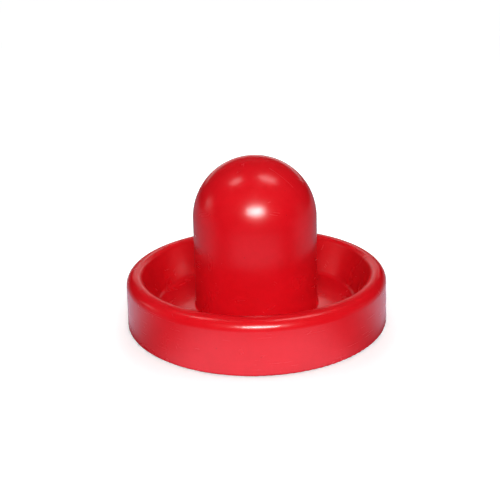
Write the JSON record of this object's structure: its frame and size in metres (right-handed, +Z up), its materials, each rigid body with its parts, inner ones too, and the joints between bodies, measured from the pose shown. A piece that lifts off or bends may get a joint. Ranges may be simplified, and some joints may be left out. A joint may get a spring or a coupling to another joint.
{
  "type": "air hockey pusher",
  "caption": "Round air hockey pusher: upright rim, finger tray round a hollow domed knob, and a felt ring underneath to slide on.",
  "frame": {"origin": "centre of the felt ring's underside, on the surface that the pusher slides on", "axes": "+Z up along the pusher's axis of symmetry, +X and +Y across the base; a rib of the rim lies along +X"},
  "size_m": [0.096, 0.096, 0.06],
  "materials": {
    "red_plastic": "satin-gloss moulded ABS",
    "felt": "pressed wool-blend felt",
    "adhesive": "double-sided film"
  },
  "bodies": {
    "root": {"pusher_body": "red_plastic", "felt_pad": "felt", "adhesive_film": "adhesive"}
  },
  "joints": []
}
